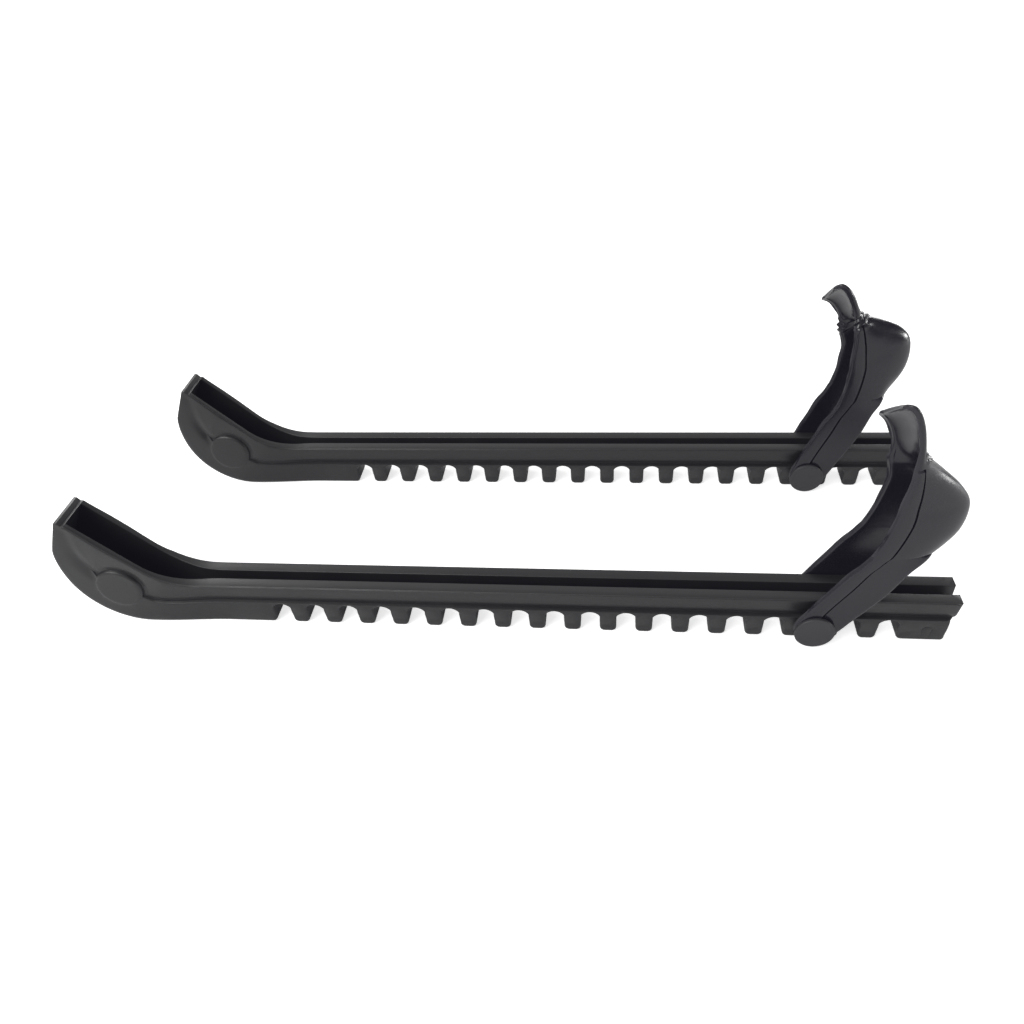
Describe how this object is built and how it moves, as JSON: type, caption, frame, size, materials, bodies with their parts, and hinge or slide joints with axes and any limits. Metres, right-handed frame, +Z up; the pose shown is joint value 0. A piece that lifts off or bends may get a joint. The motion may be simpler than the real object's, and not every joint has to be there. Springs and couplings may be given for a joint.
{
  "type": "skate blade guards",
  "caption": "Pair of black walking guards for ice skate blades: toothed rails with a blade channel and toe cup, each with a rubber heel strap on a headed cross pin.",
  "frame": {"origin": "on the floor, at the centre of the sole of guard A's middle tooth", "axes": "+X along the rails from toe to heel, +Y across the pair from guard A to guard B, +Z up"},
  "size_m": [0.3224, 0.1054, 0.0909],
  "materials": {
    "rail_plastic": "satin black moulded plastic",
    "strap_rubber": "glossy black soft rubber",
    "pin_plastic": "satin black moulded plastic"
  },
  "bodies": {
    "guard_a": {"blade_rail_a": "rail_plastic"},
    "pin_a": {"cross_pin_a": "pin_plastic", "pin_cap_a": "pin_plastic"},
    "strap_a": {"heel_strap_a": "strap_rubber"},
    "tab_a": {"pull_tab_a": "strap_rubber"},
    "guard_b": {"blade_rail_b": "rail_plastic"},
    "pin_b": {"cross_pin_b": "pin_plastic", "pin_cap_b": "pin_plastic"},
    "strap_b": {"heel_strap_b": "strap_rubber"},
    "tab_b": {"pull_tab_b": "strap_rubber"}
  },
  "joints": [
    {"name": "guard_b_place", "type": "slide", "parent": "guard_a", "child": "guard_b", "axis": [0, 1, 0], "range_m": [-0.04, 0.1]},
    {"name": "unhook_a", "type": "slide", "parent": "guard_a", "child": "pin_a", "axis": [0, 0, -1], "range_m": [0, 0.0105]},
    {"name": "strap_swing_a", "type": "hinge", "parent": "pin_a", "child": "strap_a", "pos_m": [0.08125, 0, 0.0072], "axis": [0, 1, 0], "range_deg": [-65, 5]},
    {"name": "tab_flex_a", "type": "hinge", "parent": "strap_a", "child": "tab_a", "pos_m": [0.09975, 0, 0.0769], "axis": [0, 1, 0], "range_deg": [-20, 20], "stiffness_Nm_per_rad": 0.05},
    {"name": "unhook_b", "type": "slide", "parent": "guard_b", "child": "pin_b", "axis": [0, 0, -1], "range_m": [0, 0.0105]},
    {"name": "strap_swing_b", "type": "hinge", "parent": "pin_b", "child": "strap_b", "pos_m": [0.09215, 0.0844, 0.0072], "axis": [0, 1, 0], "range_deg": [-56, 14]},
    {"name": "tab_flex_b", "type": "hinge", "parent": "strap_b", "child": "tab_b", "pos_m": [0.09952, 0.0844, 0.07894], "axis": [0, 1, 0], "range_deg": [-20, 20], "stiffness_Nm_per_rad": 0.05}
  ]
}
